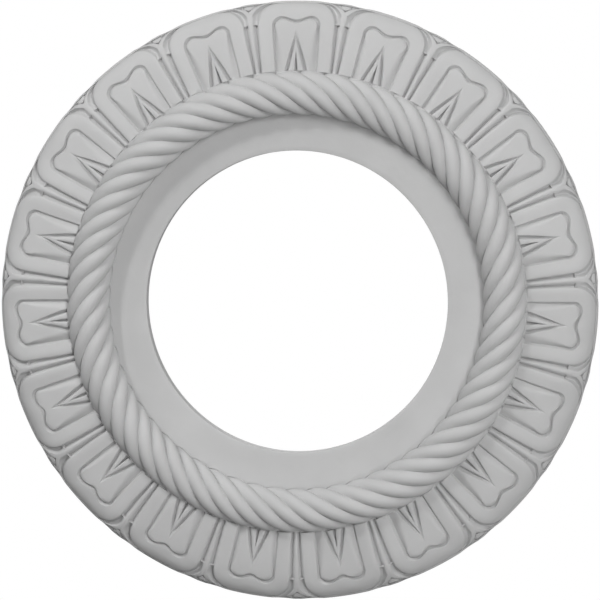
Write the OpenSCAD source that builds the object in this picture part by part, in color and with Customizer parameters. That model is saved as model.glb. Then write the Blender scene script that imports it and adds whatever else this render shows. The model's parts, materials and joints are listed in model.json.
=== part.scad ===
// Ceiling rose: a ring with a plain inner flange, a carved rope and a border of leaves, cast as one.
// It hangs face down: the flat back lies in the plane z = 0 and the carving points to -Z.
// The carving is worked out face up, as it is seen from the front, and turned over at the end.

/* [Ring] */
// Outside diameter
outside_d = 330; // [322:1:350]
// Diameter of the round opening in the middle
opening_d = 166; // [120:1:196]
// Thickness of the plain flange around the opening
flange_t = 9; // [6:0.5:11]
// Thickness of the outside edge
edge_t = 2.5; // [2:0.5:4]

/* [Rope] */
// Diameter of the circle along the middle of the rope
rope_ring_d = 229; // [222:1:232]
// Thickness of the rope
rope_d = 23.8; // [20:0.2:24]
// Height of the rope's crest above the back
rope_top = 25; // [24:0.5:28]
// Number of strands counted round the ring
strand_count = 59; // [44:1:72]
// Degrees of the ring that a strand passes over from the rope's inner side to its outer side
strand_sweep = 17; // [8:0.5:26]
// Depth of the furrows between the strands
furrow_depth = 1.7; // [0.8:0.1:2.2]

/* [Leaf border] */
// Number of leaves
leaf_count = 19; // [16:1:24]
// Height of the border's surface beside the rope
border_top = 14; // [12:0.5:17]
// Share of the border's fall that comes late, as a round at the outside edge
edge_round = 0.5; // [0.3:0.05:0.7]
// Width of a leaf as a share of the room for one leaf
leaf_share = 0.85; // [0.8:0.01:0.88]
// Radius of a leaf's shoulders
shoulder_r = 11; // [7:0.5:12]
// Depth of the grooves between a leaf and the stems beside it
groove_depth = 2.4; // [1:0.1:3]

/* [Leaf panel] */
// Width of the sunk panel as a share of the room for one leaf
panel_share = 0.5; // [0.44:0.01:0.56]
// Distance from the outside edge to the panel's two upper lobes
panel_inset = 9; // [7:0.5:11]
// Depth of the dip between the two lobes
lobe_dip = 2.2; // [0:0.1:3]
// Depth of the panel's rim below the raised frame around it
panel_step = 1.4; // [0.6:0.1:2]
// Width between the lower ends of the two incised lines as a share of the room for one leaf
lines_share = 0.28; // [0.2:0.01:0.34]
// Distance from the outside edge to the point where the incised lines meet
lines_inset = 17.6; // [15:0.2:22]
// Depth of the incised lines
line_depth = 1.4; // [0.6:0.1:2]

/* [Hidden] */

outside_r = outside_d / 2;
opening_r = opening_d / 2;
rope_ring_r = rope_ring_d / 2;
rope_r = rope_d / 2;
rope_z = rope_top - rope_r;
strand_pitch = 360 / strand_count;
leaf_pitch = 360 / leaf_count;

// The border starts under the rope's outer side, inside the furrows at the height of its surface, and
// stands back from the outside edge by a small ledge, above a low lip
overlap = 0.7;
ledge_w = 0.4;
lip_h = 0.6;
furrow_r = rope_r - furrow_depth;
furrow_reach = sqrt(pow(furrow_r, 2) - pow(max(0, border_top - rope_z), 2));
border_in = rope_ring_r + furrow_reach - overlap;
border_out = outside_r - ledge_w;
border_low = edge_t + lip_h;

// Powers of the border's even fall and of the round at its outside edge
fall_power = 1.6;
round_power = 7;

// Height down to which the rope and the border go into the backing
root_z = edge_t / 2;

// Facets of the rope: half way round it, and along the width of one strand
rope_rows = 6;
strand_cols = 3;
rope_cols = strand_count * strand_cols;
rope_loop = rope_rows + 3;

// Points of half a leaf contour, from the rope side up to the leaf's middle line
side_pts = 2;
corner_pts = 3;
top_pts = 2;
half_pts = side_pts + corner_pts + top_pts;
leaf_cols = 2 * half_pts;
// The point at which the outermost contour turns from the stem's middle line to the outside edge
edge_corner = 3;
// How closely the points of an incised line gather where the two lines meet
gather = 1.8;

// Widths of the slopes in the plan: shares of the room for one leaf, and radial lengths
groove_share = 0.05;
slope_share = 0.03;
rim_gap = 0.35;
slope_len = 0.6;
line_len = 3;

// Heights against the border's surface
stem_z = -0.3 * groove_depth;
leaf_rim_z = -0.2 * groove_depth;
panel_rim_z = -0.2;
panel_crown_z = -0.1;
rib_z = -0.3;
middle_line_z = -0.8 * line_depth;

// Rounded contours of a leaf from its groove inward to the panel's rim, each as
// [half width share, top radius, corner radius, dip of the top, height]
leaf_top = border_out - 2 * rim_gap;
panel_top = outside_r - panel_inset;
crest_share = (leaf_share + panel_share) / 2;
crest_top = (leaf_top + panel_top) / 2;
crest_corner = 0.7 * shoulder_r;
panel_corner = 0.32 * shoulder_r;
rounded = [
    [leaf_share + groove_share, leaf_top + rim_gap, shoulder_r + slope_len, 0, -groove_depth],
    [leaf_share, leaf_top, shoulder_r, 0, leaf_rim_z],
    [crest_share, crest_top, crest_corner, lobe_dip / 3, 0],
    [panel_share + slope_share, panel_top + slope_len, panel_corner + slope_len, lobe_dip, panel_rim_z],
    [panel_share, panel_top, panel_corner, lobe_dip, panel_rim_z - panel_step]
];

// Pointed contours inside the panel, from the incised lines inward to the middle line, each as
// [half width share, radius of the point, height]
lines_top = outside_r - lines_inset;
pointed = [
    [lines_share + slope_share, lines_top, panel_crown_z],
    [lines_share - slope_share, lines_top - line_len, -line_depth],
    [0.6 * lines_share, lines_top - 2 * line_len, rib_z],
    [0, lines_top - 3 * line_len, middle_line_z]
];
rounded_rows = len(rounded);
last_row = rounded_rows + len(pointed);

// Two triangles that close the four-sided patch a, b, c, d
function patch(a, b, c, d) = [[a, b, c], [a, c, d]];

function reversed(list) = [for (j = [len(list) - 1:-1:0]) list[j]];

function polar(angle, r, z) = [r * cos(angle), r * sin(angle), z];

// Plain cross-section under the carving: the flange, and the thin part under the rope and the border
module backing() {
    rotate_extrude($fn = 240)
        polygon([
            [opening_r, 0],
            [outside_r, 0],
            [outside_r, edge_t],
            [rope_ring_r, edge_t],
            [rope_ring_r, flange_t],
            [opening_r, flange_t]
        ]);
}

// Point of the rope: rows run from its inner side over the crest, and the last two are its root.
// A furrow follows a helix, so it runs slantwise across the crest and nearly level at the sides.
function rope_point(row, col) =
    let (
        seen_row = row <= rope_rows ? row : row == rope_rows + 1 ? rope_rows : 0,
        turn = 180 * seen_row / rope_rows - 90,
        r = rope_r - (col % strand_cols == 0 ? furrow_depth : 0),
        angle = 90 + strand_pitch * (col / strand_cols - 0.5) + strand_sweep * turn / 180
    )
    polar(angle, rope_ring_r + r * sin(turn), row <= rope_rows ? rope_z + r * cos(turn) : root_z);

module rope() {
    points = [for (col = [0:rope_cols - 1], row = [0:rope_loop - 1]) rope_point(row, col)];
    faces = [
        for (col = [0:rope_cols - 1], row = [0:rope_loop - 1])
            let (
                here = col * rope_loop,
                next = (col + 1) % rope_cols * rope_loop,
                next_row = (row + 1) % rope_loop
            )
            each patch(here + row, next + row, next + next_row, here + next_row)
    ];
    polyhedron(points, faces, convexity = 8);
}

// Height of the border's surface: nearly level beside the rope, and rounded down at the outside edge
function border_z(r) =
    let (
        s = (r - border_in) / (border_out - border_in),
        fallen = (1 - edge_round) * pow(s, fall_power) + edge_round * pow(s, round_power)
    )
    border_low + (border_top - border_low) * (1 - fallen);

// Share and radius of point i of the outermost contour: the stem's middle line, then the edge
function room_plan(i) =
    i <= edge_corner
        ? [1, border_in + (border_out - border_in) * i / edge_corner]
        : [(half_pts - i) / (half_pts - edge_corner), border_out];

// The same for a rounded contour: side, corner, and top with a dip in its middle
function rounded_plan(c, i) =
    let (
        side_top = c[1] - c[2],
        bend = 90 * (i - side_pts) / corner_pts,
        corner_share = c[2] / (PI * c[1] / 180) / (leaf_pitch / 2),
        inward = (i - side_pts - corner_pts) / top_pts
    )
    i <= side_pts
        ? [c[0], border_in + (side_top - border_in) * i / side_pts]
        : i <= side_pts + corner_pts
            ? [c[0] - corner_share * (1 - cos(bend)), side_top + c[2] * sin(bend)]
            : [(c[0] - corner_share) * (1 - inward), c[1] - c[3] * pow(sin(90 * inward), 2)];

// The same for a pointed contour, which is a straight line in the plan
function pointed_plan(c, i) =
    let (t = 1 - pow(1 - i / half_pts, gather))
    [c[0] * (1 - t), border_in + (c[1] - border_in) * t];

// Row 0 is the border of the leaf's room; the rounded and then the pointed contours follow it inward
function plan(row, i) =
    row == 0 ? room_plan(i)
    : row <= rounded_rows ? rounded_plan(rounded[row - 1], i)
    : pointed_plan(pointed[row - 1 - rounded_rows], i);

function height(row) =
    row == 0 ? stem_z
    : row <= rounded_rows ? rounded[row - 1][4]
    : pointed[row - 1 - rounded_rows][2];

// Point of a leaf: col counts from one end of the contour over the leaf's top to the other end
function border_point(leaf, row, col) =
    let (
        place = plan(row, min(col, leaf_cols - col)),
        side = col < half_pts ? -1 : 1
    )
    polar(
        90 + leaf_pitch * (leaf + side * place[0] / 2),
        place[1],
        max(border_low, border_z(place[1]) + height(row))
    );

// Place of a leaf's point in the list: neighbours share the stem line, both halves the middle line
row_len = leaf_cols + 1;
leaf_len = last_row * row_len + half_pts + 1;
border_len = leaf_count * leaf_len;
function border_index(leaf, row, col) =
    row == 0 && col >= leaf_cols - edge_corner
        ? (leaf + 1) % leaf_count * leaf_len + leaf_cols - col
        : leaf * leaf_len + row * row_len + (row == last_row ? min(col, leaf_cols - col) : col);

// One leaf's points along the rope side, and along the outside edge
function rope_line(leaf) = [
    for (row = [0:last_row]) border_index(leaf, row, 0),
    for (row = [last_row - 1:-1:0]) border_index(leaf, row, leaf_cols)
];
function edge_line(leaf) = [for (col = [edge_corner:leaf_cols - edge_corner]) border_index(leaf, 0, col)];

// Upright faces from a line of carved points down to the root, whose points follow in the list
function wall(line) = [
    for (j = [0:len(line) - 2])
        each patch(line[j + 1], line[j], line[j] + border_len, line[j + 1] + border_len)
];

module leaf_border() {
    leaves = [0:leaf_count - 1];
    carved = [
        for (leaf = leaves, row = [0:last_row])
            for (col = [0:row == last_row ? half_pts : leaf_cols]) border_point(leaf, row, col)
    ];
    root = [for (p = carved) [p[0], p[1], root_z]];
    carved_faces = [
        for (leaf = leaves, row = [0:last_row - 1], col = [0:leaf_cols - 1])
            each patch(
                border_index(leaf, row, col),
                border_index(leaf, row + 1, col),
                border_index(leaf, row + 1, col + 1),
                border_index(leaf, row, col + 1)
            )
    ];
    walls = [for (leaf = leaves) each concat(wall(rope_line(leaf)), wall(reversed(edge_line(leaf))))];
    undersides = [
        for (leaf = leaves)
            [for (j = concat(edge_line(leaf), reversed(rope_line(leaf)))) j + border_len]
    ];
    polyhedron(concat(carved, root), concat(carved_faces, walls, undersides), convexity = 8);
}

module ceiling_rose() {
    color("gainsboro")
        rotate([0, 180, 0])
            union() {
                backing();
                rope();
                leaf_border();
            }
}

ceiling_rose();
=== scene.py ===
"""Ceiling rose: the finished surface of the casting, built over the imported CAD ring."""
import json
import math

import bmesh
import bpy
import numpy as np
from mathutils import Matrix, Vector, noise

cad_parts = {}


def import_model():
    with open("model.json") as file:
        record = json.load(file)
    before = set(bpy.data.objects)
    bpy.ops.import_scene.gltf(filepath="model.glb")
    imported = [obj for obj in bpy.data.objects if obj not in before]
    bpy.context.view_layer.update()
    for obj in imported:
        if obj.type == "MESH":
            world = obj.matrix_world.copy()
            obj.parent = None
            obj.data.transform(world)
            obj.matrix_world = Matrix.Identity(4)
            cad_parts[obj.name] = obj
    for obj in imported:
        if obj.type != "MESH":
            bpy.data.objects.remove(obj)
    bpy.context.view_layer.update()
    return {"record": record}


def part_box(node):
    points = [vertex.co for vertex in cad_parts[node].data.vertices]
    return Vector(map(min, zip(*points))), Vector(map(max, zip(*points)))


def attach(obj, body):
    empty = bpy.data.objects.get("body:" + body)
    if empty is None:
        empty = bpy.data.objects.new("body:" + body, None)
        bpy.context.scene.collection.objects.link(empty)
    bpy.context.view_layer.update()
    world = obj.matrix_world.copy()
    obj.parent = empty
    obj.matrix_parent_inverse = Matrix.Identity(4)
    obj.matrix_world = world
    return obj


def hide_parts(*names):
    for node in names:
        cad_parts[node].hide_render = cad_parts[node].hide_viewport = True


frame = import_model()

MM = 0.001

# ---------------------------------------------------------------- sizes, in millimetres
# The face is worked out as it is seen from the front: radius, angle, and height above the back.
NODE = "ceiling_rose"
mounts = {m["name"]: m for m in frame["record"]["mounts"]}
opening = mounts["canopy_opening"]["dims"]
low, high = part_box(NODE)

OUTSIDE_R = (high[0] - low[0]) / 2 / MM
ROPE_TOP = (high[2] - low[2]) / MM
OPENING_R = opening["r_mm"]
FLANGE_T = opening["length_mm"]

# Rope: the ring of its middle line, its section, and its strands. A strand runs STRAND_SWEEP degrees round
# the rose in half a turn round the rope.
ROPE_RING_R = 114.5
ROPE_R = 11.9
ROPE_Z = ROPE_TOP - ROPE_R
STRANDS = 59
STRAND_PITCH = 360 / STRANDS
STRAND_SWEEP = 17
FURROW = 2.4
FURROW_POWER = 2.2

# Leaf border: carved from the rope to a narrow lip, with its surface falling from BORDER_TOP to BORDER_LOW
LEAVES = 19
HALF_PITCH = 180 / LEAVES
ROPE_GAP = 0.3
LIP_WIDTH = 0.8
BORDER_IN = ROPE_RING_R + ROPE_R + ROPE_GAP
BORDER_OUT = OUTSIDE_R - LIP_WIDTH
BORDER_TOP = 14.0
BORDER_LOW = 4.0
FALL_POWER, ROUNDING_POWER = 1.6, 7

# Outside edge: its own thickness, the plain rim on it, and the floor of the deepest grooves
EDGE_T = 2.5
RIM_Z = EDGE_T + 0.8
FLOOR_Z = EDGE_T - 0.1

# Seam between the rope and the border, with a pit at each furrow
SEAM_Z = BORDER_TOP - 0.25
SEAM_PIT = 1.6
SEAM_PIT_POWER = 5


def smooth(a, b, x):
    """0 below a, 1 above b, and a smooth rise between them."""
    t = np.clip((x - a) / (b - a), 0, 1)
    return t * t * (3 - 2 * t)


def border_z(r):
    """Height of the border's plain surface: nearly level beside the rope, and rounded down at the edge."""
    s = np.clip((r - BORDER_IN) / (BORDER_OUT - BORDER_IN), 0, 1)
    return BORDER_LOW + (BORDER_TOP - BORDER_LOW) * (1 - 0.5 * s ** FALL_POWER - 0.5 * s ** ROUNDING_POWER)


# ---------------------------------------------------------------- one mesh from joined grids
class Skin:
    """Gathers grids of points, given as angle in degrees, radius and height, and the faces between them."""

    def __init__(self):
        self.points, self.faces, self.count = [], [], 0

    def add(self, angle, r, z):
        """Adds a grid of points and returns their numbers in the same layout."""
        angle, r, z = np.broadcast_arrays(angle, r, z)
        t = np.radians(angle)
        xyz = np.stack([r * np.cos(t), r * np.sin(t), z], -1).reshape(-1, 3)
        self.points.append(xyz)
        ids = np.arange(self.count, self.count + len(xyz)).reshape(angle.shape)
        self.count += len(xyz)
        return ids

    def quads(self, ids, flip=False):
        """Faces between neighbouring rows and columns of a grid of point numbers."""
        q = np.stack([ids[:-1, :-1], ids[:-1, 1:], ids[1:, 1:], ids[1:, :-1]], -1).reshape(-1, 4)
        self.faces += (q[:, ::-1] if flip else q).tolist()

    def zip_rings(self, inner, inner_angle, outer, outer_angle):
        """Triangles between two closed rings whose points have different angles."""
        a, b = np.argsort(inner_angle % 360), np.argsort(outer_angle % 360)
        ia, ib = inner[a].tolist(), outer[b].tolist()
        ta, tb = (inner_angle % 360)[a].tolist(), (outer_angle % 360)[b].tolist()
        i = j = 0
        while i < len(ia) or j < len(ib):
            next_a = ta[i + 1] if i + 1 < len(ia) else ta[(i + 1) % len(ia)] + 360
            next_b = tb[j + 1] if j + 1 < len(ib) else tb[(j + 1) % len(ib)] + 360
            here_a, here_b = ia[i % len(ia)], ib[j % len(ib)]
            if j >= len(ib) or (i < len(ia) and next_a <= next_b):
                self.faces.append([here_a, here_b, ia[(i + 1) % len(ia)]])
                i += 1
            else:
                self.faces.append([here_a, here_b, ib[(j + 1) % len(ib)]])
                j += 1

    def build(self, name, to_frame, weld=0.002 * MM):
        """One closed mesh object, with the points turned into the frame and equal points welded."""
        xyz = to_frame(np.concatenate(self.points))
        mesh = bpy.data.meshes.new(name)
        mesh.from_pydata(xyz.tolist(), [], self.faces)
        bm = bmesh.new()
        bm.from_mesh(mesh)
        bmesh.ops.remove_doubles(bm, verts=bm.verts, dist=weld)
        bmesh.ops.dissolve_degenerate(bm, edges=bm.edges, dist=weld)
        bmesh.ops.recalc_face_normals(bm, faces=bm.faces)
        bm.to_mesh(mesh)
        bm.free()
        obj = bpy.data.objects.new(name, mesh)
        bpy.context.scene.collection.objects.link(obj)
        return obj


# ---------------------------------------------------------------- rope
ROPE_IN_TURN = -math.degrees(math.acos((FLANGE_T - ROPE_Z) / ROPE_R))
ROPE_OUT_TURN = math.degrees(math.acos((SEAM_Z - ROPE_Z) / ROPE_R))
ROPE_ROWS = 28
# Depth and width of the fine groove on the flange at the strands' feet
FOOT_PIT, FOOT_ROOM = 0.45, 0.35
# Columns of one strand, as shares of the way from one furrow to the next
STRAND_STEPS = np.array([0, .03, .07, .12, .19, .28, .39, .5, .61, .72, .81, .88, .93, .97])


def seam_z(angle):
    """Height where the rope's outer side meets the border: a pit at each furrow, and level between them."""
    step = (angle - 90 - STRAND_SWEEP * ROPE_OUT_TURN / 180) / STRAND_PITCH + 0.5
    return SEAM_Z - SEAM_PIT * np.abs(2 * (step % 1) - 1) ** SEAM_PIT_POWER


def rope(skin):
    """The strands: furrows that follow a helix round the rope. Returns its inner and outer end rings."""
    turn = np.linspace(ROPE_IN_TURN, ROPE_OUT_TURN, ROPE_ROWS)[:, None]
    step = (np.arange(STRANDS)[:, None] + STRAND_STEPS[None, :]).reshape(1, -1)
    off_crown = np.abs(2 * (step % 1) - 1)
    r = ROPE_R - FURROW * off_crown ** FURROW_POWER
    angle = 90 + STRAND_PITCH * (step - 0.5) + STRAND_SWEEP * turn / 180
    across = ROPE_RING_R + r * np.sin(np.radians(turn))
    height = ROPE_Z + r * np.cos(np.radians(turn))
    height[0], height[-1] = FLANGE_T - FOOT_PIT, seam_z(angle[-1])
    # One more row at the flange's level makes the groove's inner side
    angle, across = np.concatenate([angle[:1], angle]), np.concatenate([across[:1] - FOOT_ROOM, across])
    height = np.concatenate([np.full_like(height[:1], FLANGE_T), height])
    ids = skin.add(angle, across, height)
    skin.quads(np.concatenate([ids, ids[:, :1]], 1))
    return (ids[0], angle[0]), (ids[-1], angle[-1])


# ---------------------------------------------------------------- leaf border
# Every contour of a half leaf has the same columns: up its side, round its corner, along its top.
SIDE = np.array([0, .1, .22, .35, .48, .61, .73, .84, .92, .975, 1])
CORNER = np.radians([4, 10, 17, 25, 33, 41, 50, 59, 67, 75, 83, 90])
TOP = np.array([.12, .24, .37, .5, .63, .76, .88, 1])
N_SIDE, N_CORNER, N_TOP = len(SIDE), len(CORNER), len(TOP)
COLUMNS = N_SIDE + N_CORNER + N_TOP


def rounded(low_share, high_share, top, corner_share, corner_len, dip=0.0):
    """A contour with straight sides, round corners and a top that dips at the leaf's middle line.
    Returns shares of half the room for one leaf, and radii."""
    side_top = top - corner_len
    share = np.concatenate([
        low_share + (high_share - low_share) * SIDE,
        high_share - corner_share * (1 - np.cos(CORNER)),
        (high_share - corner_share) * (1 - TOP),
    ])
    r = np.concatenate([
        BORDER_IN + (side_top - BORDER_IN) * SIDE,
        side_top + corner_len * np.sin(CORNER),
        top - dip * (1 - np.cos(np.pi * TOP)) / 2,
    ])
    return np.stack([share, r])


def pointed(low_share, point_r):
    """A straight contour from the rope's side to a point on the leaf's middle line."""
    side_part, corner_part, top_part = 0.5, 0.38, 0.12
    t = np.concatenate([side_part * SIDE, side_part + corner_part * np.degrees(CORNER) / 90,
                        1 - top_part + top_part * TOP])
    return np.stack([low_share * (1 - t), BORDER_IN + (point_r - BORDER_IN) * t])


# From the outside in: the frame, the step to the sunk panel, the incised line, the rib and the notch
OUTLINE = rounded(0.881, 0.834, BORDER_OUT - 0.45, 0.41, 11.8)
STEP_TOP = rounded(0.550, 0.532, OUTSIDE_R - 8.3, 0.200, 5.0, 2.2)
STEP_FOOT = rounded(0.503, 0.486, OUTSIDE_R - 9.6, 0.190, 4.4, 2.3)
LINE_OUTER = pointed(0.304, 148.3)
LINE_FLOOR = pointed(0.240, 145.4)
LINE_INNER = pointed(0.188, 142.4)
RIB_CREST = pointed(0.115, 139.4)
NOTCH_EDGE = pointed(0.046, 136.8)
MIDDLE = pointed(0.0, 135.8)

# Rows between two contours: how far across, and the height against the border's surface
FRAME_ROWS = [(0, -.34), (.03, -.16), (.08, -.03), (.18, .1), (.3, .16), (.42, .13), (.55, .04), (.7, -.1),
              (.84, -.24), (.94, -.34), (1, -.44)]
STEP_ROWS = [(.2, -.85), (.8, -2.1), (1, -2.3)]
PANEL_ROWS = [(.04, 0), (.12, 0), (.22, 0), (.34, 0), (.5, 0), (.7, 0), (.92, 0), (1, -.1)]
LINE_ROWS = [(.35, -1.0), (1, -2.4)]
RIB_ROWS = [(.6, -1.2), (1, -.35)]
CREST_ROWS = [(.4, -.12), (1, -.05)]
NOTCH_ROWS = [(.7, -.1), (1, -.3)]
MIDDLE_ROWS = [(.45, -2.0), (1, -2.7)]
FIRST_LINE_ROW = len(FRAME_ROWS) + len(STEP_ROWS) + len(PANEL_ROWS)

# The panel rises from the foot of its step within this room: the first beside the rope, the second round
# the leaf's top, with a change from one to the other between two columns
PANEL_RISE = (5.2, 1.0)
RISE_COLUMNS = (4, N_SIDE + 2)
RISE_POWER = 1.6
# Part of their depth that the lines and the notch lose at the tip, and where along the line it starts
TIP_LOSS, TIP_START = 0.6, 0.5


def leaf_rows():
    """Share, radius and height of every row of a half leaf, from its outline to its middle line."""
    share, r, height = [], [], []
    path = [OUTLINE, STEP_TOP, STEP_FOOT, LINE_OUTER, LINE_FLOOR, LINE_INNER, RIB_CREST, NOTCH_EDGE, MIDDLE]
    tables = [FRAME_ROWS, STEP_ROWS, PANEL_ROWS, LINE_ROWS, RIB_ROWS, CREST_ROWS, NOTCH_ROWS, MIDDLE_ROWS]
    for (start, end), table in zip(zip(path, path[1:]), tables):
        for across, h in table:
            place = start + (end - start) * across
            share.append(place[0])
            r.append(place[1])
            height.append(np.full(COLUMNS, h))
    share, r, height = map(np.array, (share, r, height))
    rise = PANEL_RISE[0] + (PANEL_RISE[1] - PANEL_RISE[0]) * smooth(*RISE_COLUMNS, np.arange(COLUMNS))
    room = np.hypot(np.radians((STEP_FOOT[0] - LINE_OUTER[0]) * HALF_PITCH) * STEP_FOOT[1],
                    STEP_FOOT[1] - LINE_OUTER[1])
    for row, (across, _) in enumerate(PANEL_ROWS, FIRST_LINE_ROW - len(PANEL_ROWS)):
        height[row] += STEP_ROWS[-1][1] * np.maximum(0, 1 - across * room / rise) ** RISE_POWER
    # The two pointed lines grow shallow at their tip, and so does the notch between the ribs
    shallow = 1 - TIP_LOSS * smooth(TIP_START, 1, (r[-1] - BORDER_IN) / (MIDDLE[1][-1] - BORDER_IN))
    height[FIRST_LINE_ROW:FIRST_LINE_ROW + len(LINE_ROWS) + len(RIB_ROWS)] *= shallow
    notch = slice(-len(MIDDLE_ROWS), None)
    height[notch] = NOTCH_ROWS[-1][1] + (height[notch] - NOTCH_ROWS[-1][1]) * shallow
    return share, r, border_z(r) + height


# Between the leaves: the stem, the collar where it ends, two scooped arms, and a bud between the arms
COLLAR_R = 152.6
BUD_R = 160.3
ARM_SHARE = 0.61
ARM_POWER = 2.6
FORK = np.array([.12, .5, 1])
ARM = np.array([.06, .15, .26, .38, .52, .67, .82, .94, 1])
N_FORK, N_ARM = len(FORK), len(ARM)
FIRST_EDGE = N_SIDE + N_FORK + N_ARM - 1


def room_line():
    """The outer line of half a room: up the stem's ridge, along an arm's inner ridge, and along the edge."""
    share = np.concatenate([
        np.ones(N_SIDE + N_FORK), 1 + (ARM_SHARE - 1) * ARM, ARM_SHARE * (1 - TOP),
    ])
    r = np.concatenate([
        BORDER_IN + (COLLAR_R - BORDER_IN) * SIDE, COLLAR_R + (BUD_R - COLLAR_R) * FORK,
        BORDER_OUT - (BORDER_OUT - BUD_R) * (1 - ARM) ** ARM_POWER, np.full(N_TOP, BORDER_OUT),
    ])
    return np.stack([share, r])


ROOM = room_line()
# Rows from a leaf's outline to that line: share of the way, and height beside the stem and beside an arm
BESIDE = np.array([0, .07, .15, .24, .34, .5, .66, .82, .93, 1])
STEM_Z = np.array([-.34, -.85, -1.45, -2.1, -2.7, -1.75, -.8, -.42, -.3, -.27])
ARM_Z = np.array([-.34, -2.0, -3.0, -3.5, -3.3, -2.1, -.6, -.35, -.35, -.45])
# The collar: a light lip across the groove at the stem's end, and a dark cut on its rope side. Both fade in
# and out between these shares.
COLLAR_LIP = -0.5
COLLAR_CUT = 0.7
COLLAR_FROM, COLLAR_TO = (.05, .15), (.5, .85)
# The carving steps down to the plain rim at a share that falls along these columns
RIM_COLUMNS = (N_SIDE + N_FORK + 4, COLUMNS - N_TOP)
RIM_SHARES = (.85, 0)
RIM_STEP = .15


def beside_rows():
    """Share, radius and height of the rows from a leaf's outline to the line of its room."""
    column = np.arange(COLUMNS)[None, :]
    place = OUTLINE[:, None, :] + (ROOM - OUTLINE)[:, None, :] * BESIDE[None, :, None]
    arm = smooth(N_SIDE - 0.5, N_SIDE + 2, column)
    height = STEM_Z[:, None] * (1 - arm) + ARM_Z[:, None] * arm
    inside = (smooth(*COLLAR_FROM, BESIDE) * (1 - smooth(*COLLAR_TO, BESIDE)))[:, None]
    lip = inside * (column == N_SIDE)
    cut = inside * (column == N_SIDE - 1)
    height = height + lip * (COLLAR_LIP - height) - cut * COLLAR_CUT
    step = np.interp(column, RIM_COLUMNS, RIM_SHARES)
    rim = smooth(step, step + RIM_STEP, BESIDE[:, None])
    rim = rim * smooth(RIM_COLUMNS[0] - 2, RIM_COLUMNS[0] + 1, column)
    z = np.maximum(border_z(place[1]) + height, FLOOR_Z)
    return place[0], place[1], z + rim * (RIM_Z - z)


# Rows of half a bud from the arm's ridge inward: share of the way to the bud's side, then to its middle
GROUND_ROWS = [(0, -.5), (.15, -1.9), (.5, -2.6), (1, -2.6)]
BUD_ROWS = [(.12, 1.1), (.35, 1.8), (.65, 2.2), (1, 2.3)]
BUD_HALF = 3.1
BUD_WIDEST = 0.45
BUD_TAPER = 0.2


def bud_rows():
    """Share, radius and height of half a bud and of the ground beside it: columns run from its point
    to the outside edge."""
    along = np.concatenate([[0], ARM])
    columns = slice(N_SIDE + N_FORK - 1, FIRST_EDGE + 1)
    ridge = ROOM[:, columns]
    middle_r = BUD_R + (BORDER_OUT - BUD_R) * along
    half = BUD_HALF * np.sin(np.pi / 2 * np.minimum(1, along / BUD_WIDEST))
    half = half * (1 - BUD_TAPER * smooth(.6, 1, along))
    side = np.stack([1 - np.degrees(half / middle_r) / HALF_PITCH, (ridge[1] + middle_r) / 2])
    middle = np.stack([np.ones_like(along), middle_r])
    # The ground sinks away from the bud's point. The bud swells from its point and ends before the rim.
    hollow, dome = smooth(0, .15, along), smooth(.1, .35, along) * (1 - smooth(.78, .92, along))
    share, r, z = [], [], []
    for across, h in GROUND_ROWS:
        place = ridge + (side - ridge) * across
        share.append(place[0])
        r.append(place[1])
        ground = border_z(place[1]) + GROUND_ROWS[0][1] + (h - GROUND_ROWS[0][1]) * hollow
        z.append(np.maximum(ground, FLOOR_Z))
    z[0] = beside_rows()[2][-1, columns]
    foot = z[-1]
    for across, h in BUD_ROWS:
        place = side + (middle - side) * across
        share.append(place[0])
        r.append(place[1])
        z.append(foot + h * dome)
    z = np.array(z)
    z[:, -1] = RIM_Z
    return np.array(share), np.array(r), z


def leaf_angle(leaf, side, share):
    """Angle of a place at a share of half a leaf's room, on one side (-1 or 1) of the leaf's middle line."""
    return 90 + HALF_PITCH * (2 * leaf + side * share)


def ring(parts):
    """Joins runs of (angles, heights) into one ring in the order of the angle, each point once."""
    angle = np.concatenate([p[0] for p in parts]) % 360
    height = np.concatenate([p[1] for p in parts])
    key = np.round(angle, 6) % 360
    _, first = np.unique(key, return_index=True)
    return angle[first], height[first]


def leaf_border(skin):
    """All leaves and the carving between them. Returns the rings beside the rope and along the edge."""
    inner, edge = [], []
    grids = leaf_rows(), beside_rows(), bud_rows()
    leaf_z, beside_z, bud_z = (z for _, _, z in grids)
    for k in range(LEAVES):
        for side in (-1, 1):
            leaf, beside, bud = angles = [leaf_angle(k, side, share) for share, _, _ in grids]
            for angle, (_, r, z) in zip(angles, grids):
                skin.quads(skin.add(angle, r, z), flip=side > 0)
            inner += [(leaf[:, 0], leaf_z[:, 0]), (beside[1:, 0], beside_z[1:, 0])]
            edge += [(beside[-1, FIRST_EDGE:], beside_z[-1, FIRST_EDGE:]), (bud[1:, -1], bud_z[1:, -1])]
    return ring(inner), ring(edge)


# ---------------------------------------------------------------- plain parts, and joining it all
ROUND_STEPS = np.arange(0, 360, 1.0)
EDGE_SCALLOP = 0.35
BEVEL = 0.4
SEAM_WIDTH = 0.2
SHARP_FROM = 40
# Rows round the lip: share of the way from the carving to the outside edge, and drop below the rim
LIP_ROWS = [(.35, .3), (.7, .7), (.93, 1.15), (1, 1.6)]


def seam(skin, line, rope_end):
    """The narrow strip from the carving's inner ends to the rope."""
    angle, height = line
    r = np.array([[BORDER_IN], [BORDER_IN - SEAM_WIDTH]])
    ids = skin.add(angle[None], r, np.stack([height, seam_z(angle)]))
    skin.quads(np.concatenate([ids, ids[:, :1]], 1))
    skin.zip_rings(*rope_end, ids[-1], angle)


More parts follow.
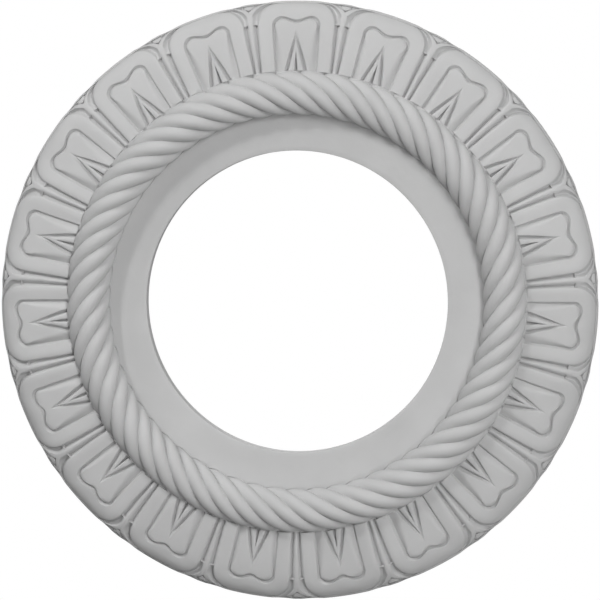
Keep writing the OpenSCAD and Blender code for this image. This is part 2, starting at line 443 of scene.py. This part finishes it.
def outside_edge(skin, line):
    """The thin outside edge from the carving's lip to the back. Returns its ring on the back."""
    angle, height = line
    share = np.abs((angle - 90 + HALF_PITCH) % (2 * HALF_PITCH) - HALF_PITCH) / HALF_PITCH
    # The edge draws in a little at the leaves' round corners
    edge_r = OUTSIDE_R - EDGE_SCALLOP * (smooth(.45, .65, share) - smooth(.84, .92, share))
    flat = np.zeros_like(angle)
    room = edge_r - BORDER_OUT
    outs = [0] + [out for out, _ in LIP_ROWS] + [1]
    r = np.stack([BORDER_OUT + room * out for out in outs] + [edge_r - BEVEL])
    z = np.stack([height] + [flat + RIM_Z - drop for _, drop in LIP_ROWS] + [flat + BEVEL, flat])
    ids = skin.add(angle[None], r, z)
    skin.quads(np.concatenate([ids, ids[:, :1]], 1))
    return ids[-1], angle


def flange_and_back(skin, rope_end, back_ring):
    """The back, the opening's wall and the flange, all plain rings. Those inside a flat part only keep its
    faces short."""
    profile = [
        (BORDER_OUT - 3, 0), (145, 0), (125, 0), (105, 0), (OPENING_R + 2, 0), (OPENING_R + BEVEL, 0),
        (OPENING_R, BEVEL), (OPENING_R, FLANGE_T / 2), (OPENING_R, FLANGE_T - BEVEL),
        (OPENING_R + BEVEL * .3, FLANGE_T - BEVEL * .3), (OPENING_R + BEVEL, FLANGE_T),
        (OPENING_R + 3, FLANGE_T), (94, FLANGE_T), (ROPE_RING_R - ROPE_R - 1, FLANGE_T),
    ]
    r, z = np.array(profile).T
    ids = skin.add(ROUND_STEPS[None], r[:, None], z[:, None])
    skin.quads(np.concatenate([ids, ids[:, :1]], 1))
    skin.zip_rings(ids[0], ROUND_STEPS, *back_ring)
    skin.zip_rings(ids[-1], ROUND_STEPS, *rope_end)


# Unevenness of the carving: how fast it changes per millimetre, and its size. The seed makes every run the
# same: without one, Blender's noise_vector takes the clock.
WIDE_WAVE, FINE_WAVE = (0.055, 0.28), (0.19, 0.1)
NOISE_SEED = 1


def hand_worked(xyz):
    """Small soft unevenness of the carved model, fading out on the flange, the back and the edge."""
    above_flange = smooth(FLANGE_T, FLANGE_T + 3, xyz[:, 2])
    on_border = np.hypot(xyz[:, 0], xyz[:, 1]) > ROPE_RING_R
    carved = smooth(EDGE_T + 1, EDGE_T + 4, xyz[:, 2]) * np.where(on_border, 1, above_flange)
    noise.seed_set(NOISE_SEED)
    for index, weight in enumerate(carved):
        if weight:
            x, y, z = xyz[index]
            push = noise.noise_vector(Vector((x, y, 0)) * WIDE_WAVE[0]) * WIDE_WAVE[1]
            push += noise.noise_vector(Vector((y, x, z)) * FINE_WAVE[0]) * FINE_WAVE[1]
            xyz[index] += np.array(push) * weight
    xyz[:, 2] = np.minimum(xyz[:, 2], ROPE_TOP)
    return xyz


def to_frame(xyz):
    """From the face as seen from the front, in millimetres, to the frame: face down, in metres."""
    return hand_worked(xyz) * np.array([-1, 1, -1]) * MM


def casting():
    """The whole rose as one closed object."""
    skin = Skin()
    rope_inner, rope_outer = rope(skin)
    seam_line, edge_line = leaf_border(skin)
    seam(skin, seam_line, rope_outer)
    back_ring = outside_edge(skin, edge_line)
    flange_and_back(skin, rope_inner, back_ring)
    obj = skin.build("rose_casting", to_frame)
    obj.data.shade_smooth()
    obj.data.set_sharp_from_angle(angle=math.radians(SHARP_FROM))
    return obj


# ---------------------------------------------------------------- material
def primed_foam():
    """Matt white-grey primer on moulded foam: nearly even, with a faint mottle and a fine grain."""
    material = bpy.data.materials.new("primed_foam")
    material.use_nodes = True
    nodes, links = material.node_tree.nodes, material.node_tree.links
    shader = nodes["Principled BSDF"]
    shader.inputs["Roughness"].default_value = 0.72
    shader.inputs["Specular IOR Level"].default_value = 0.25
    place = nodes.new("ShaderNodeTexCoord")

    def cloud(scale, detail, rough=0.5):
        texture = nodes.new("ShaderNodeTexNoise")
        texture.inputs["Scale"].default_value = scale
        texture.inputs["Detail"].default_value = detail
        texture.inputs["Roughness"].default_value = rough
        links.new(place.outputs["Object"], texture.inputs["Vector"])
        return texture.outputs["Fac"]

    mottle = nodes.new("ShaderNodeMapRange")
    mottle.inputs["From Min"].default_value = 0.3
    mottle.inputs["From Max"].default_value = 0.7
    links.new(cloud(38, 4), mottle.inputs["Value"])
    tint = nodes.new("ShaderNodeMix")
    tint.data_type = "RGBA"
    tint.inputs["A"].default_value = (0.475, 0.475, 0.475, 1)
    tint.inputs["B"].default_value = (0.505, 0.505, 0.505, 1)
    links.new(mottle.outputs["Result"], tint.inputs["Factor"])
    links.new(tint.outputs["Result"], shader.inputs["Base Color"])

    grain = nodes.new("ShaderNodeBump")
    grain.inputs["Strength"].default_value = 0.12
    grain.inputs["Distance"].default_value = 0.0002
    links.new(cloud(1400, 3), grain.inputs["Height"])
    swell = nodes.new("ShaderNodeBump")
    swell.inputs["Strength"].default_value = 0.25
    swell.inputs["Distance"].default_value = 0.0006
    links.new(cloud(120, 2), swell.inputs["Height"])
    links.new(grain.outputs["Normal"], swell.inputs["Normal"])
    links.new(swell.outputs["Normal"], shader.inputs["Normal"])
    return material


# ---------------------------------------------------------------- stage, light and camera
# Sizes and distances here are in metres, in the frame
ROOM_HEIGHT = 2.4
FLOOR_HALF = 12
FLOOR_COLOUR = 0.8
FLOOR_LIFT = 0.6
AMBIENT = 0.01

# The camera stands CAMERA_SLANT degrees off the straight view, towards the picture's azimuth CAMERA_SIDE.
# It shows FRAME_HALF to each side of AIM.
CAMERA_DISTANCE = 2.0
CAMERA_SLANT = 6.2
CAMERA_SIDE = 32
SENSOR = 36
FRAME_HALF = 0.1651
AIM = Vector((-0.0013, 0.0007, -0.003))

LAMP_DISTANCE = 2.5
# The key lamp: azimuth and elevation as seen in the picture, size, and watts
KEY_LAMP = (127, 38, 0.3, 17.5)
# Soft lamps from the upper left round to the lower right, and one behind: name, azimuth, elevation, watts
SOFT_SIZE = 0.8
SOFT_LAMPS = [
    ("high_upper_right", 45, 60, 21), ("high_right", 0, 72, 17.3), ("high_lower_right", 315, 66, 5.5),
    ("low_upper_left", 140, 22, 15), ("low_top", 90, 15, 8.5),
    ("low_right", 0, 15, 5.5), ("low_lower_right", 315, 15, 7.5), ("behind", 90, -65, 20),
]


def seen_from_front(azimuth, elevation):
    """Unit direction in the frame, from the azimuth as seen in the picture (0 right, 90 up) and the
    elevation above the face."""
    a, e = math.radians(azimuth), math.radians(elevation)
    return Vector((-math.cos(e) * math.cos(a), math.cos(e) * math.sin(a), -math.sin(e)))


def lamp(name, azimuth, elevation, size, watts):
    """A soft square lamp that shines at the rose from that side of the picture."""
    data = bpy.data.lights.new(name, "AREA")
    data.shape = "SQUARE"
    data.size = size
    data.energy = watts
    obj = bpy.data.objects.new(name, data)
    direction = seen_from_front(azimuth, elevation)
    obj.location = direction * LAMP_DISTANCE
    obj.rotation_euler = direction.to_track_quat("Z", "Y").to_euler()
    bpy.context.scene.collection.objects.link(obj)


def seen_directly(tree):
    """1 for rays that show a surface or the background as it is, and 0 for the light that they give."""
    path = tree.nodes.new("ShaderNodeLightPath")
    total = path.outputs["Is Camera Ray"]
    for name in ("Is Glossy Ray", "Is Transmission Ray"):
        add = tree.nodes.new("ShaderNodeMath")
        add.operation = "MAXIMUM"
        tree.links.new(total, add.inputs[0])
        tree.links.new(path.outputs[name], add.inputs[1])
        total = add.outputs["Value"]
    return total


def between(tree, low, high, factor):
    """A number that goes from low to high with the factor."""
    node = tree.nodes.new("ShaderNodeMapRange")
    node.inputs["To Min"].default_value = low
    node.inputs["To Max"].default_value = high
    tree.links.new(factor, node.inputs["Value"])
    return node.outputs["Result"]


def world():
    """White behind the object, and a weaker even light from all round."""
    data = bpy.data.worlds.new("soft_room")
    data.use_nodes = True
    tree = data.node_tree
    background = tree.nodes["Background"]
    background.inputs["Color"].default_value = (1, 1, 1, 1)
    tree.links.new(between(tree, AMBIENT, 1, seen_directly(tree)), background.inputs["Strength"])
    bpy.context.scene.world = data


def floor():
    """The room's plain pale floor, far below the ceiling. It takes shadows, and shows nearly white."""
    mesh = bpy.data.meshes.new("floor")
    signs = [(-1, -1), (1, -1), (1, 1), (-1, 1)]
    corners = [(FLOOR_HALF * x, FLOOR_HALF * y, -ROOM_HEIGHT) for x, y in signs]
    mesh.from_pydata(corners, [], [(0, 1, 2, 3)])
    obj = bpy.data.objects.new("floor", mesh)
    bpy.context.scene.collection.objects.link(obj)
    material = bpy.data.materials.new("pale_floor")
    material.use_nodes = True
    tree = material.node_tree
    shader = tree.nodes["Principled BSDF"]
    shader.inputs["Base Color"].default_value = (FLOOR_COLOUR, FLOOR_COLOUR, FLOOR_COLOUR, 1)
    shader.inputs["Roughness"].default_value = 0.9
    shader.inputs["Emission Color"].default_value = (1, 1, 1, 1)
    tree.links.new(between(tree, 0, FLOOR_LIFT, seen_directly(tree)), shader.inputs["Emission Strength"])
    mesh.materials.append(material)


def camera():
    """Nearly straight at the face, from a little to the picture's upper right, with the frame's +Y up."""
    data = bpy.data.cameras.new("camera")
    data.sensor_width = SENSOR
    data.lens = SENSOR * CAMERA_DISTANCE / (2 * FRAME_HALF)
    obj = bpy.data.objects.new("camera", data)
    back = seen_from_front(CAMERA_SIDE, 90 - CAMERA_SLANT)
    right = Vector((0, 1, 0)).cross(back).normalized()
    up = back.cross(right)
    turn = Matrix((right, up, back)).transposed().to_4x4()
    obj.matrix_world = Matrix.Translation(back * CAMERA_DISTANCE + AIM) @ turn
    bpy.context.scene.collection.objects.link(obj)
    bpy.context.scene.camera = obj


# ---------------------------------------------------------------- the scene
rose = casting()
rose.data.materials.append(primed_foam())
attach(rose, "root")
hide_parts(NODE)

world()
floor()
camera()
lamp("key", *KEY_LAMP)
for side, azimuth, elevation, watts in SOFT_LAMPS:
    lamp("soft_" + side, azimuth, elevation, SOFT_SIZE, watts)

bpy.context.scene.view_settings.view_transform = "Standard"
